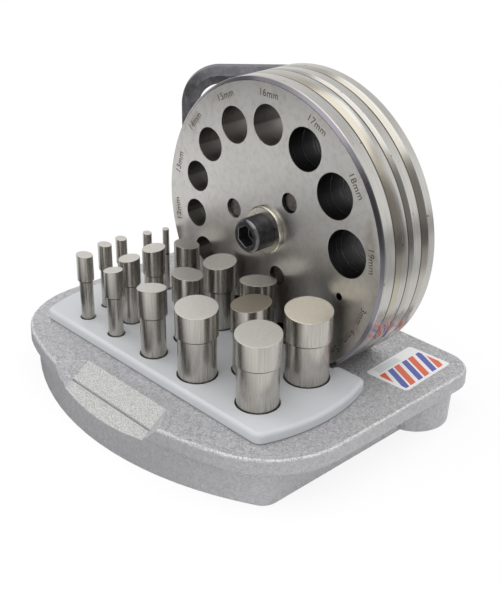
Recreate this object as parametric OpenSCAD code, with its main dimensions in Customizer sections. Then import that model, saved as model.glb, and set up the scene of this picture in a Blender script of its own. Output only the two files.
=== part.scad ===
// Bench disc cutter: a cast base carries a storage tray of seventeen punches, a cradle
// with a round stack of four die plates, and the hex key that tightens the stack.
// X runs across the base, Y runs from the front bow to the back, Z is up from the bench.
// Inside the modules Y = 0 is the front face of the die stack; seated() then moves
// everything so that the origin is the middle of the footprint.

/* [Base casting] */
// Width of the base across its straight sides
base_w = 170.8; // [166:0.2:180]
// Height of the base top above the bench
base_h = 21.6; // [21:0.2:26]
// Distance from the face of the die stack to the front of the bow
front_reach = 78.2; // [76:0.1:84]
// Distance from the face of the die stack to the back edge
back_reach = 51.5; // [49:0.5:60]
// Radius of the bowed front edge
front_bow_r = 180; // [150:1:220]
// Radius of the two front corners
front_corner_r = 37.5; // [32:0.5:44]
// Radius of the two back corners
back_corner_r = 13; // [8:1:18]
// Thickness of the top flange
flange_t = 6.4; // [5.6:0.1:7]
// Chamfer round the top of the flange
flange_chamfer = 1; // [0.4:0.1:1.6]
// Wall of the skirt under the flange
skirt_t = 5; // [4:0.1:6]
// Distance of the skirt's sides in from the flange's sides
skirt_inset = 11.6; // [9.5:0.1:13]
// Radius of the bowed front of the skirt
skirt_bow_r = 140; // [130:1:170]
// Radius of the skirt's front corners
skirt_corner_r = 7; // [6:0.5:12]
// Diameter of the two back feet where they meet the flange
foot_d = 31; // [28:0.5:33]
// Taper of a foot on its radius, from the flange to the bench
foot_draft = 0.9; // [0:0.1:1.5]
// Distance of each back foot in from the side of the base
foot_inset = 16.6; // [15.5:0.1:19]
// Distance of the back feet behind the face of the die stack
foot_y = 31; // [28:0.5:33]

/* [Front facet] */
// Width of the sloped facet in the front edge
facet_w = 50; // [40:1:60]
// Depth of the facet back from the front of the bow
facet_depth = 14.3; // [12:0.1:18]
// Slope of the facet below level
facet_slope = 35; // [30:1:40]
// Splay of the facet's side walls
facet_splay = 38; // [30:1:45]

/* [Storage tray] */
// Height of the tray above the base top
tray_proud = 4.7; // [4:0.1:6]
// Depth of the tray block below the base top
tray_sunk = 10; // [8:0.1:11]
// Width of the tray over its bowed sides
tray_w = 145.4; // [140:0.2:150]
// Distance of the tray's middle from the middle of the base
tray_x = -0.9; // [-2:0.1:2]
// Distance from the face of the die stack to the tray's front edge
tray_front = 55.2; // [54:0.2:58]
// Distance that the tray reaches behind the face of the die stack
tray_back = 3.1; // [2:0.1:5]
// Radius of the tray's bowed sides
tray_bow_r = 74; // [68:1:90]
// Radius of the tray's corners in plan
tray_corner_r = 4; // [3:0.5:6]
// Radius of the tray's rounded top edge
tray_edge_r = 1.7; // [1.5:0.1:3]
// Width of the lip that covers the edge of the pocket
tray_lip = 3; // [2:0.1:4]
// Space between a punch and its hole in the tray
tray_hole_gap = 0.55; // [0.3:0.05:0.7]

/* [Die stack] */
// Diameter of the four plates
die_d = 122; // [118:0.5:126]
// Thickness of each plate
plate_t = 7.5; // [7:0.1:9]
// Distance of the stack's axis from the middle of the base
die_x = 12; // [8:0.1:14]
// Depth of the stack's rim below the base top
die_sink = 9.4; // [8:0.1:10]
// Bevel of every plate's front edge, on the radius
bevel_r = 1.5; // [1:0.1:2]
// Diameter of the circle of cutting holes
hole_circle_d = 86.5; // [85:0.5:89]
// Angle of the largest hole above the horizontal
first_hole_turn = 4.7; // [0:0.1:8]
// Angle from the largest hole to the smallest
hole_sweep_angle = 334.7; // [333:0.1:338]
// Smallest cutting size, the others go up by the step
size_min = 3; // [2.8:0.1:3.2]
// Rise from one cutting size to the next
size_rise = 1; // [0.98:0.01:1.02]
// Space between a punch and its cutting hole
punch_fit = 0.02; // [0.01:0.01:0.04]
// Cradle floor thickness under the stack
cradle_floor = 3.6; // [3:0.1:4]

/* [Clamp and dowels] */
// Diameter of the clamp bolt's shank
bolt_d = 9.5; // [9:0.1:10]
// Diameter of the bolt head
head_d = 14; // [13:0.1:15.5]
// Height of the bolt head
head_h = 9.5; // [8:0.1:11]
// Size of the hex socket and of the key, across the flats
hex_af = 8; // [7:0.1:8.4]
// Depth of the hex socket
socket_depth = 5.5; // [5:0.1:6.5]
// Diameter of the washer
washer_d = 20; // [18:0.1:22]
// Thickness of the washer
washer_t = 1.9; // [1.5:0.1:2.4]
// Diameter of the three dowel pins
dowel_d = 8; // [7:0.1:9]
// Diameter of the circle of dowel pins
dowel_circle_d = 38.8; // [37:0.2:41]
// Depth of a dowel's end below the front face
dowel_recess = 1.6; // [1:0.1:2.5]

/* [Punches] */
// Length of a punch on its axis
punch_len = 43.9; // [42:0.1:46]
// Length of the cutting head
punch_head = 11.5; // [10:0.1:14]
// Step from the cutting head down to the shank, on the diameter
punch_relief = 1.6; // [1:0.1:1.8]
// Shear angle of the cutting face
shear_angle = 7; // [4:0.5:8]
// Chamfer at the foot of a shank
punch_chamfer = 0.5; // [0.2:0.1:0.6]

/* [Hex key] */
// Height of the key from its foot to the top of its arm
key_height = 109.5; // [100:0.5:115]
// Length of the key's short arm from the outside of its leg
key_arm = 50; // [44:0.5:54]
// Radius of the bend on the key's axis
key_bend_r = 13.5; // [12:0.5:18]
// Depth of the key's hole in the foot
key_depth = 12.5; // [10:0.5:15]
// Distance of the key's hole outwards from the middle of its foot
key_shift = 1.6; // [0:0.2:2.6]
// Direction of the arm, counted from the base's right side
key_turn = 46.5; // [40:0.5:52]

/* [Hidden] */

// How far a cut runs past the face it opens
overrun = 1;
// Gap round the stack in its cradle
cradle_gap = 0.3;
// Space in front of the stack, in which the guide plates slide open
open_space = 1;
// Gap between the tray block and its pocket
tray_gap = 0.3;
// Sliding gap of the guide plates on their dowels
dowel_slide = 0.05;
// Gap of the dowels in the plates that hold them
dowel_hold = 0.01;
// Gap round the bolt in the plates that it passes
bolt_pass = 0.4;
// Gap of the bolt in its tapped plate
bolt_thread = 0.06;
// Gap round the corners of the key in its hole
key_gap = 0.1;
// Chamfers of the bolt head, the washer and the shank's end
head_chamfer = 0.9;
washer_chamfer = 0.5;
shank_chamfer = 1.2;
// Length of bolt left short of the stack's back face
bolt_short = 2;
// Length of the dowels left short of the stack's back face
dowel_short = 0.6;
// Width of the front bevel along the axis, plate by plate, as shares of a plate
bevel_shares = [0.2, 0.5, 0.35, 0.55];
// Largest step of a thin punch, as a share of its diameter
relief_share = 0.2;
// Cutting sizes up to which a punch is plain, counted above the smallest
plain_steps = 1;
// Room that grows between the holes from the largest to the smallest
hole_wall = 3.7;
hole_wall_growth = 0.13;
// Thickness of the casting round and under the tray's pocket
pan_wall = 4;
// Growth of the facet's wedge that leaves a wall behind it
facet_wall = 7;

// Angles of the dowels, and the direction in which each punch's face slopes down
dowel_turns = [50, 170, 290];
shear_turns = [-40, -50, -45, -135, 130, -90, 45, 135, 50, -130, -135, 180, 40, 45, 20, 0, 0];

// Where each punch stands, from the largest: its side of the middle as a share of half
// the tray's width, and its distance in front of the stack as a share of tray_front
place_shares = [
    [0.689, 0.232], [0.697, 0.721], [0.271, 0.777], [0.4305, 0.457], [0.256, 0.172],
    [-0.070, 0.160], [-0.069, 0.482], [-0.065, 0.817], [-0.3865, 0.134], [-0.473, 0.370],
    [-0.454, 0.627], [-0.385, 0.844], [-0.663, 0.842], [-0.707, 0.611], [-0.7125, 0.446],
    [-0.674, 0.226], [-0.646, 0.066]
];

n_sizes = len(place_shares);
size_of = [for (i = [0 : n_sizes - 1]) size_min + size_rise * (n_sizes - 1 - i)];
stack_t = 4 * plate_t;
foot_x = base_w / 2 - foot_inset;
axis_z = base_h - die_sink + die_d / 2;
tray_top = base_h + tray_proud;
pocket_z = base_h - tray_sunk;
skirt_back_r = skirt_t + overrun;
key_r = hex_af / cos(30) / 2;
key_x = foot_x + key_shift;
key_foot_z = base_h - key_depth;
key_tip = key_arm - hex_af / 2;

// Room that each step round the hole circle needs, and the angles that share the sweep
hole_room = [for (i = [0 : n_sizes - 2])
    (size_of[i] + size_of[i + 1]) / 2 + hole_wall + hole_wall_growth * i];
function total(list, n) = n == 0 ? 0 : list[n - 1] + total(list, n - 1);
hole_turn = [for (i = [0 : n_sizes - 1])
    first_hole_turn + hole_sweep_angle * total(hole_room, i) / total(hole_room, n_sizes - 1)];

// The footprint runs from the front bow to the back edge or the tip of the key
key_back = foot_y + key_tip * sin(key_turn) + key_r * cos(key_turn);
middle_y = (max(back_reach, key_back) - front_reach) / 2;

module seated() translate([0, -middle_y, 0]) children();
module on_axis() translate([die_x, 0, axis_z]) children();
module on_tray(z) translate([tray_x, 0, z]) children();
module along_y() rotate([-90, 0, 0]) children();

function shank_d(d) = d < size_min + (plain_steps + 0.5) * size_rise ? d
    : d - min(punch_relief, relief_share * d);
function arc(c, r, from, to, n) =
    [for (i = [0 : n]) let (a = from + (to - from) * i / n) c + r * [cos(a), sin(a)]];
function mirrored(half) =
    concat(half, [for (i = [len(half) - 1 : -1 : 0]) [-half[i][0], half[i][1]]]);

// Half of an outline with a bowed front, a tangent corner and a straight side, drawn
// in from its edge by d
function bow_half(half, front, bow_r, corner_r, back, back_r, d) = let (
    bow = [0, bow_r - front],
    cx = half - corner_r,
    corner = [cx, bow[1] - sqrt(pow(bow_r - corner_r, 2) - cx * cx)],
    turn = atan2(corner[1] - bow[1], cx)
) concat(
    arc(bow, bow_r - d, -90, turn, 9),
    arc(corner, corner_r - d, turn, 0, 9),
    arc([half - back_r, back - back_r], back_r - d, 0, 90, 6)
);

module flange_outline(d) polygon(mirrored(bow_half(base_w / 2, front_reach, front_bow_r,
    front_corner_r, back_reach, back_corner_r, d)));

module skirt_outline(d) polygon(mirrored(bow_half(base_w / 2 - skirt_inset, front_reach,
    skirt_bow_r, skirt_corner_r, foot_y + skirt_t, skirt_back_r, d)));

// Half of the tray's outline: straight front and back, a bowed side, rounded corners
function tray_half(d) = let (
    bow = [tray_w / 2 - tray_bow_r, (tray_back - tray_front) / 2],
    reach = tray_bow_r - tray_corner_r,
    low = tray_corner_r - tray_front,
    high = tray_back - tray_corner_r,
    front = [bow[0] + sqrt(reach * reach - pow(low - bow[1], 2)), low],
    back = [bow[0] + sqrt(reach * reach - pow(high - bow[1], 2)), high],
    turn = atan2(high - bow[1], back[0] - bow[0])
) concat(
    arc(front, tray_corner_r - d, -90, -turn, 5),
    arc(bow, tray_bow_r - d, -turn, turn, 10),
    arc(back, tray_corner_r - d, turn, 90, 5)
);

module tray_outline(d) polygon(mirrored(tray_half(d)));

// The wedge that opens the facet, grown by d: its floor slopes down to the front, its
// side walls lean outwards
module facet_wedge(d) {
    run = facet_depth + overrun + d;
    drop = run * tan(facet_slope);
    side = run * tan(facet_splay);
    back = facet_depth - front_reach + d;
    front = back - run;
    half = facet_w / 2 + d;
    ring = [[-half, back], [half, back], [half + side, front], [-half - side, front]];
    polyhedron(
        points = concat(
            [for (p = ring) [p[0], p[1], base_h]],
            [for (p = ring) [p[0], p[1], base_h + overrun]],
            [[half, front, base_h - drop], [-half, front, base_h - drop]]
        ),
        faces = [
            [4, 5, 6, 7], [0, 1, 5, 4], [1, 2, 6, 5], [3, 0, 4, 7],
            [2, 8, 9, 3, 7, 6], [0, 9, 8, 1], [1, 8, 2], [0, 3, 9]
        ]
    );
}

// Round room for the stack, gap wider than the plates on every side that holds them
module cradle_room() on_axis() translate([0, -open_space, 0]) along_y()
    cylinder(r = die_d / 2 + cradle_gap, h = stack_t + open_space + cradle_gap, $fn = 180);

// Pan under the stack: the cradle's own round floor between two end walls
module cradle_pan() {
    sink = flange_t - base_h + axis_z;
    reach = sqrt(pow(die_d / 2 + cradle_floor, 2) - sink * sink);
    intersection() {
        on_axis() translate([0, -pan_wall, 0]) along_y()
            cylinder(r = die_d / 2 + cradle_gap + cradle_floor,
                h = stack_t + 2 * pan_wall, $fn = 180);
        translate([die_x - reach - pan_wall, -pan_wall, 0])
            cube([2 * (reach + pan_wall), stack_t + 2 * pan_wall, base_h - flange_t / 2]);
    }
}

module base_casting() color("silver") seated() difference() {
    union() {
        hull() {
            translate([0, 0, base_h - flange_t])
                linear_extrude(flange_t - flange_chamfer) flange_outline(0);
            translate([0, 0, base_h - flange_chamfer])
                linear_extrude(flange_chamfer) flange_outline(flange_chamfer);
        }
        linear_extrude(base_h - flange_t / 2) difference() {
            skirt_outline(0);
            skirt_outline(skirt_t);
            translate([-base_w / 2, foot_y]) square([base_w, back_reach]);
        }
        for (side = [-1, 1]) translate([side * foot_x, foot_y, 0])
            cylinder(r1 = foot_d / 2 - foot_draft, r2 = foot_d / 2,
                h = base_h - flange_t / 2, $fn = 72);
        on_tray(pocket_z - pan_wall)
            linear_extrude(tray_sunk + pan_wall - flange_t / 2)
                tray_outline(tray_lip - tray_gap - pan_wall);
        cradle_pan();
        intersection() {
            linear_extrude(base_h - flange_t / 2) skirt_outline(0);
            facet_wedge(facet_wall);
        }
    }
    on_tray(pocket_z) linear_extrude(tray_sunk + overrun)
        tray_outline(tray_lip - tray_gap);
    cradle_room();
    translate([-key_x, foot_y, key_foot_z])
        cylinder(r = key_r + key_gap, h = key_depth + overrun, $fn = 48);
    facet_wedge(0);
}

// Rounded lip, the block below it, the notch for the stack and the punches' holes
module punch_tray() color("lightsteelblue") seated() {
    steps = 4;
    notch = sqrt(pow(die_d / 2, 2) - pow(axis_z - tray_top, 2)) + open_space;
    difference() {
        union() {
            hull() {
                on_tray(base_h) linear_extrude(tray_proud - tray_edge_r) tray_outline(0);
                for (i = [1 : steps]) let (a = 90 * i / steps)
                    on_tray(base_h) linear_extrude(
                        tray_proud - tray_edge_r * (1 - sin(a)))
                        tray_outline(tray_edge_r * (1 - cos(a)));
            }
            on_tray(pocket_z) linear_extrude(tray_sunk + tray_proud / 2)
                tray_outline(tray_lip);
        }
        translate([die_x - notch, -open_space, pocket_z - overrun])
            cube([2 * notch, tray_back + open_space + overrun,
                tray_sunk + tray_proud + 2 * overrun]);
        for (i = [0 : n_sizes - 1]) at_place(i)
            cylinder(r = shank_d(size_of[i]) / 2 + tray_hole_gap,
                h = tray_sunk + tray_proud + 2 * overrun, $fn = 64);
    }
}

module at_place(i) on_tray(pocket_z - overrun) translate([place_shares[i][0] * tray_w / 2,
    -place_shares[i][1] * tray_front, 0]) children();

// A round punch: chamfered foot, relieved shank, full-size head with a sheared face
module set_punch(i) {
    d = size_of[i];
    head = d / 2;
    shank = shank_d(d) / 2;
    spare = head * tan(shear_angle);
    color([0.72, 0.69, 0.64]) seated() at_place(i) translate([0, 0, overrun])
    difference() {
        union() {
            cylinder(r1 = shank - punch_chamfer, r2 = shank, h = punch_chamfer, $fn = 64);
            translate([0, 0, punch_chamfer])
                cylinder(r = shank, h = punch_len - punch_head - punch_chamfer, $fn = 64);
            translate([0, 0, punch_len - punch_head])
                cylinder(r = head, h = punch_head + spare, $fn = 64);
        }
        translate([0, 0, punch_len]) rotate([0, shear_angle, shear_turns[i]])
            translate([-d, -d, 0]) cube([2 * d, 2 * d, d]);
    }
}

// One plate of the stack, k counted from the front, with its bevel and every hole
module stack_plate(k, dowel_gap, bolt_gap) color([0.74, 0.73, 0.71]) seated() difference() {
    on_axis() translate([0, k * plate_t, 0]) along_y() rotate_extrude($fn = 180) polygon([
        [0, 0], [die_d / 2 - bevel_r, 0], [die_d / 2, bevel_shares[k] * plate_t],
        [die_d / 2, plate_t], [0, plate_t]
    ]);
    on_axis() translate([0, k * plate_t - overrun, 0]) {
        for (i = [0 : n_sizes - 1])
            translate([hole_circle_d / 2 * cos(hole_turn[i]), 0,
                hole_circle_d / 2 * sin(hole_turn[i])]) along_y()
                cylinder(r = size_of[i] / 2 + punch_fit, h = plate_t + 2 * overrun, $fn = 64);
        for (a = dowel_turns)
            translate([dowel_circle_d / 2 * cos(a), 0, dowel_circle_d / 2 * sin(a)])
                along_y() cylinder(r = dowel_d / 2 + dowel_gap,
                    h = plate_t + 2 * overrun, $fn = 48);
        along_y() cylinder(r = bolt_d / 2 + bolt_gap, h = plate_t + 2 * overrun, $fn = 48);
    }
}

module guide_plate_front() stack_plate(0, dowel_slide, bolt_pass);
module guide_plate_rear() stack_plate(1, dowel_slide, bolt_pass);
module die_plate_front() stack_plate(2, dowel_hold, bolt_pass);
module die_plate_rear() stack_plate(3, dowel_hold, bolt_thread);

module dowel_pins() color([0.35, 0.33, 0.32]) seated() on_axis()
    for (a = dowel_turns)
        translate([dowel_circle_d / 2 * cos(a), dowel_recess, dowel_circle_d / 2 * sin(a)])
            along_y() cylinder(r = dowel_d / 2,
                h = stack_t - dowel_recess - dowel_short, $fn = 48);

module bolt_washer() color([0.7, 0.69, 0.64]) seated() on_axis()
    translate([0, -washer_t, 0]) along_y() difference() {
        union() {
            cylinder(r1 = washer_d / 2 - washer_chamfer, r2 = washer_d / 2,
                h = washer_chamfer, $fn = 72);
            translate([0, 0, washer_chamfer])
                cylinder(r = washer_d / 2, h = washer_t - washer_chamfer, $fn = 72);
        }
        translate([0, 0, -overrun])
            cylinder(r = bolt_d / 2 + bolt_pass, h = washer_t + 2 * overrun, $fn = 48);
    }

// Socket cap screw: chamfered head, hex socket, plain shank where the thread runs
module clamp_bolt() {
    reach = washer_t + stack_t - bolt_short;
    color([0.16, 0.16, 0.18]) seated() on_axis()
    translate([0, -washer_t - head_h, 0]) along_y() difference() {
        union() {
            cylinder(r1 = head_d / 2 - head_chamfer, r2 = head_d / 2,
                h = head_chamfer, $fn = 72);
            translate([0, 0, head_chamfer])
                cylinder(r = head_d / 2, h = head_h - head_chamfer, $fn = 72);
            translate([0, 0, head_h])
                cylinder(r = bolt_d / 2, h = reach - shank_chamfer, $fn = 48);
            translate([0, 0, head_h + reach - shank_chamfer])
                cylinder(r1 = bolt_d / 2, r2 = bolt_d / 2 - shank_chamfer,
                    h = shank_chamfer, $fn = 48);
        }
        translate([0, 0, -overrun]) linear_extrude(socket_depth + overrun) hex_bar();
    }
}

module hex_bar() rotate(30) circle(r = key_r, $fn = 6);

// Bent hexagon bar: the leg stands in the left foot, the arm points over the stack's side
module hex_key() {
    bend_z = key_height - hex_af / 2 - key_bend_r;
    color([0.2, 0.2, 0.22]) seated() translate([-key_x, foot_y, key_foot_z])
    rotate(key_turn) {
        linear_extrude(bend_z) hex_bar();
        translate([key_bend_r, 0, bend_z]) rotate([90, 0, 0]) rotate(90)
            rotate_extrude(angle = 90, $fn = 96) translate([key_bend_r, 0]) hex_bar();
        translate([key_bend_r, 0, bend_z + key_bend_r]) rotate([0, 90, 0])
            linear_extrude(key_tip - key_bend_r) hex_bar();
    }
}

module punch_19mm() set_punch(0);
module punch_18mm() set_punch(1);
module punch_17mm() set_punch(2);
module punch_16mm() set_punch(3);
module punch_15mm() set_punch(4);
module punch_14mm() set_punch(5);
module punch_13mm() set_punch(6);
module punch_12mm() set_punch(7);
module punch_11mm() set_punch(8);
module punch_10mm() set_punch(9);
module punch_09mm() set_punch(10);
module punch_08mm() set_punch(11);
module punch_07mm() set_punch(12);
module punch_06mm() set_punch(13);
module punch_05mm() set_punch(14);
module punch_04mm() set_punch(15);
module punch_03mm() set_punch(16);

base_casting();
punch_tray();
guide_plate_front();
guide_plate_rear();
die_plate_front();
die_plate_rear();
dowel_pins();
clamp_bolt();
bolt_washer();
hex_key();
punch_19mm();
punch_18mm();
punch_17mm();
punch_16mm();
punch_15mm();
punch_14mm();
punch_13mm();
punch_12mm();
punch_11mm();
punch_10mm();
punch_09mm();
punch_08mm();
punch_07mm();
punch_06mm();
punch_05mm();
punch_04mm();
punch_03mm();
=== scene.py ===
import math
import bmesh
import bpy
from mathutils import Matrix, Vector


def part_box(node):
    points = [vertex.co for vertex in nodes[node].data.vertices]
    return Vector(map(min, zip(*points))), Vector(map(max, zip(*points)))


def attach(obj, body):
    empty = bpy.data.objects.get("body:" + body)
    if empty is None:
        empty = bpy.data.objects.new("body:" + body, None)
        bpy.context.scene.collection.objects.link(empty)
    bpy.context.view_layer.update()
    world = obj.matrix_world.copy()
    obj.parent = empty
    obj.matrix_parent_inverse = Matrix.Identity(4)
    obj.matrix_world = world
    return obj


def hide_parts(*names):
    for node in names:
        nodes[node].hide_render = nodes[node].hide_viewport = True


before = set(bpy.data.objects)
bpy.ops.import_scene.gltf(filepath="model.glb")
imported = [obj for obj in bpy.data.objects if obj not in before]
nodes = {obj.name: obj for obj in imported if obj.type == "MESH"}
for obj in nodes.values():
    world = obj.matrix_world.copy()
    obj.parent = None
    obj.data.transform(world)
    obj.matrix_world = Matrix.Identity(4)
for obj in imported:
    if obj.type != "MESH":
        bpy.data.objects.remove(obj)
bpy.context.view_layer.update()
mm = 0.001
print("frame loaded,", len(nodes), "solids")

# places read from the solids, in metres
plateLow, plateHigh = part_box("guide_plate_front")
boltLow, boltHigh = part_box("clamp_bolt")
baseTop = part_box("base_casting")[1].z
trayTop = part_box("punch_tray")[1].z
axisX = (boltLow.x + boltHigh.x) / 2
axisZ = (boltLow.z + boltHigh.z) / 2
faceY = plateLow.y
stackR = plateHigh.x - axisX
plateT = plateHigh.y - plateLow.y
weld = 0.002 * mm  # points closer than this become one
fineWeld = 0.001 * mm  # the same for letters and punches


class Wire:
    # a socket that takes part in sums
    def __init__(self, board, socket):
        self.board = board
        self.socket = socket

    def calc(self, operation, *others):
        return self.board.math(operation, self, *others)

    def also(self, name):
        return Wire(self.board, self.socket.node.outputs[name])

    def __add__(self, other):
        return self.calc("ADD", other)

    def __sub__(self, other):
        return self.calc("SUBTRACT", other)

    def __rsub__(self, other):
        return self.board.math("SUBTRACT", other, self)

    def __mul__(self, other):
        return self.calc("MULTIPLY", other)

    def __truediv__(self, other):
        return self.calc("DIVIDE", other)

    def __rtruediv__(self, other):
        return self.board.math("DIVIDE", other, self)

    def __lt__(self, other):
        return self.calc("LESS_THAN", other)

    def __gt__(self, other):
        return self.calc("GREATER_THAN", other)

    __radd__ = __add__
    __rmul__ = __mul__


class Board:
    # a node tree with one way to add a node
    def __init__(self, tree):
        self.tree = tree

    def add(self, kind, settings=None, inputs=None, out=0):
        node = self.tree.nodes.new(kind)
        for key, value in (settings or {}).items():
            if key == "items":
                while len(node.index_switch_items) < value:
                    node.index_switch_items.new()
            else:
                setattr(node, key, value)
        for key, value in (inputs or {}).items():
            self.join(value, node.inputs[key])
        return Wire(self, node.outputs[out]) if node.outputs else None

    def join(self, value, socket):
        if isinstance(value, (list, Wire)):
            for wire in value if isinstance(value, list) else [value]:
                self.tree.links.new(wire.socket, socket)
        elif socket.type == "RGBA" and len(value) == 3:
            socket.default_value = (*value, 1)
        else:
            socket.default_value = value

    def math(self, operation, *values):
        return self.add("ShaderNodeMath", {"operation": operation}, dict(enumerate(values)))

    def parts(self, vector):
        first = self.add("ShaderNodeSeparateXYZ", {}, {0: vector})
        return [first.also(i) for i in range(3)]

    def step(self, value, low, high, a=0.0, b=1.0):
        return self.add("ShaderNodeMapRange", {"interpolation_type": "SMOOTHSTEP"},
                        {"Value": value, "From Min": low, "From Max": high,
                         "To Min": a, "To Max": b})

    def band(self, value, low, high, soft):
        # one from low to high, falling off just inside them
        return self.step(value, low, low + soft) * self.step(value, high, high - soft)


class Finish(Board):
    # a material with one Principled surface
    def __init__(self, name, **fixed):
        self.material = bpy.data.materials.new(name)
        self.material.use_nodes = True
        super().__init__(self.material.node_tree)
        self.tree.nodes.clear()
        self.surface = self.add("ShaderNodeBsdfPrincipled")
        self.feed(**fixed)
        self.here = self.add("ShaderNodeTexCoord", out="Object")

    def feed(self, **channels):
        for key, value in channels.items():
            self.join(value, self.surface.socket.node.inputs[key.replace("_", " ")])

    def end(self, surface=None):
        self.add("ShaderNodeOutputMaterial", {}, {"Surface": surface or self.surface})
        return self.material

    def place(self, scale=(1, 1, 1), location=(0, 0, 0), turn=(0, 0, 0), way="POINT"):
        return self.add("ShaderNodeMapping", {"vector_type": way},
                        {"Vector": self.here, "Scale": scale, "Location": location,
                         "Rotation": turn})

    def noise(self, vector, scale, detail=3.0, rough=0.5, bend=0.0):
        return self.add("ShaderNodeTexNoise", {}, {
            "Vector": vector, "Scale": scale, "Detail": detail, "Roughness": rough,
            "Distortion": bend})

    def blend(self, factor, first, second):
        return self.add("ShaderNodeMix", {"data_type": "RGBA"}, {0: factor, 6: first, 7: second},
                        out=2)

    def bump(self, height, distance, strength=1.0):
        return self.add("ShaderNodeBump", {}, {"Height": height, "Distance": distance,
                                               "Strength": strength})

    def zone(self, name):
        return self.add("ShaderNodeAttribute", {"attribute_name": name}, out="Fac")


class Shape(Board):
    # a Geometry Nodes tree with named inputs, turned into a plain mesh by make()
    kinds = {float: "NodeSocketFloat", str: "NodeSocketString",
             bpy.types.Material: "NodeSocketMaterial"}

    def __init__(self, name, inputs):
        super().__init__(bpy.data.node_groups.new(name, "GeometryNodeTree"))
        sides = self.tree.interface
        self.keys = {key: sides.new_socket(key, in_out="INPUT", socket_type=self.kinds[kind])
                     .identifier for key, kind in inputs.items()}
        sides.new_socket("Geometry", in_out="OUTPUT", socket_type="NodeSocketGeometry")
        source = self.add("NodeGroupInput")
        self.given = {key: source.also(key) for key in inputs}

    def end(self, geometry):
        real = self.add("GeometryNodeRealizeInstances", {}, {0: geometry})
        done = self.add("GeometryNodeSetMaterial", {}, {"Geometry": real,
                                                        "Material": self.given["Material"]})
        self.add("NodeGroupOutput", {}, {"Geometry": done})

    def vector(self, x=0.0, y=0.0, z=0.0):
        return self.add("ShaderNodeCombineXYZ", {}, {0: x, 1: y, 2: z})

    def move(self, geometry, shift=(0, 0, 0), turn=(0, 0, 0)):
        return self.add("GeometryNodeTransform", {}, {"Geometry": geometry, "Translation": shift,
                                                      "Rotation": turn})

    def make(self, name, values):
        obj = meshObject(name, bpy.data.meshes.new(name))
        modifier = obj.modifiers.new(name, "NODES")
        modifier.node_group = self.tree
        for key, value in values.items():
            modifier[self.keys[key]] = value
        return settle(obj)


def meshObject(name, mesh):
    obj = bpy.data.objects.new(name, mesh)
    bpy.context.scene.collection.objects.link(obj)
    return obj


def settle(obj):
    # what the modifiers give, as a plain mesh
    bpy.context.view_layer.update()
    ready = obj.evaluated_get(bpy.context.evaluated_depsgraph_get())
    mesh = bpy.data.meshes.new_from_object(ready)
    obj.modifiers.clear()
    obj.data = mesh
    return obj


def smooth(obj, angle=24):
    # round faces shade round, flat ones stay flat
    obj.data.shade_smooth()
    obj.data.set_sharp_from_angle(angle=math.radians(angle))
    even = obj.modifiers.new("even", "WEIGHTED_NORMAL")
    even.keep_sharp = True
    return settle(obj)


def softEdges(obj, look):
    edge = obj.modifiers.new("edge", "BEVEL")
    edge.width = look["edge"]
    edge.segments = look["edgeSteps"]
    edge.limit_method = "ANGLE"
    edge.angle_limit = math.radians(look["edgeTurn"])
    return settle(obj)


def place(obj, body, node=None):
    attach(obj, body)
    if node:
        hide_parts(node)
    return obj


def softCopy(name, node, material, look, carve=None):
    # a merged copy of a solid with its edges broken, then carved where asked
    mesh = nodes[node].data.copy()
    build = bmesh.new()
    build.from_mesh(mesh)
    bmesh.ops.remove_doubles(build, verts=build.verts, dist=weld)
    bmesh.ops.dissolve_limit(build, angle_limit=math.radians(1), verts=build.verts,
                             edges=build.edges, delimit={"NORMAL"})
    build.to_mesh(mesh)
    build.free()
    mesh.materials.clear()
    mesh.materials.append(material)
    soft = softEdges(meshObject(name, mesh), look)
    return smooth(carve(soft) if carve else soft)


def markZone(obj, name, rule):
    # a value on each face that the finish reads
    values = [float(rule(face.center, face.normal)) for face in obj.data.polygons]
    obj.data.attributes.new(name, "FLOAT", "FACE").data.foreach_set("value", values)


# base casting: hammered silver paint, with painted shade and highlight in its relief, and a
# painted highlight, partly rubbed paint, along the flange's top edge
baseLook = {"paint": (0.535, 0.528, 0.55), "hollowShade": (0.34, 0.335, 0.355),
            "crestHighlight": (0.70, 0.70, 0.695), "cloud": (0.42, 0.42, 0.42),
            "edgeHighlight": (0.86, 0.85, 0.83), "facet": (0.66, 0.66, 0.64), "foil": (0.98, 0.98, 0.96),
            "groove": (0.16, 0.16, 0.17), "lip": (0.90, 0.90, 0.88), "cell": 820, "grain": 1968,
            "broad": 38, "relief": 0.85 * mm, "edge": 0.6 * mm, "edgeSteps": 3, "edgeTurn": 32}
grooveLook = {"y": -66.8 * mm, "half": 0.45 * mm, "deep": 0.4 * mm, "lipShift": 1.7,
              "facetLeast": 20 * mm * mm}
edgeHighlightLook = {"band": (0.72 * mm, 0.52 * mm), "deep": 1.2 * mm, "side": 76 * mm,
            "front": -52 * mm, "back": 50 * mm, "tilt": (0.62, 0.97)}
facetWay = Vector((0, -0.574, 0.819)).normalized()
sameWay = 0.985  # cosine of the turn up to which a face belongs to the facet


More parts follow.
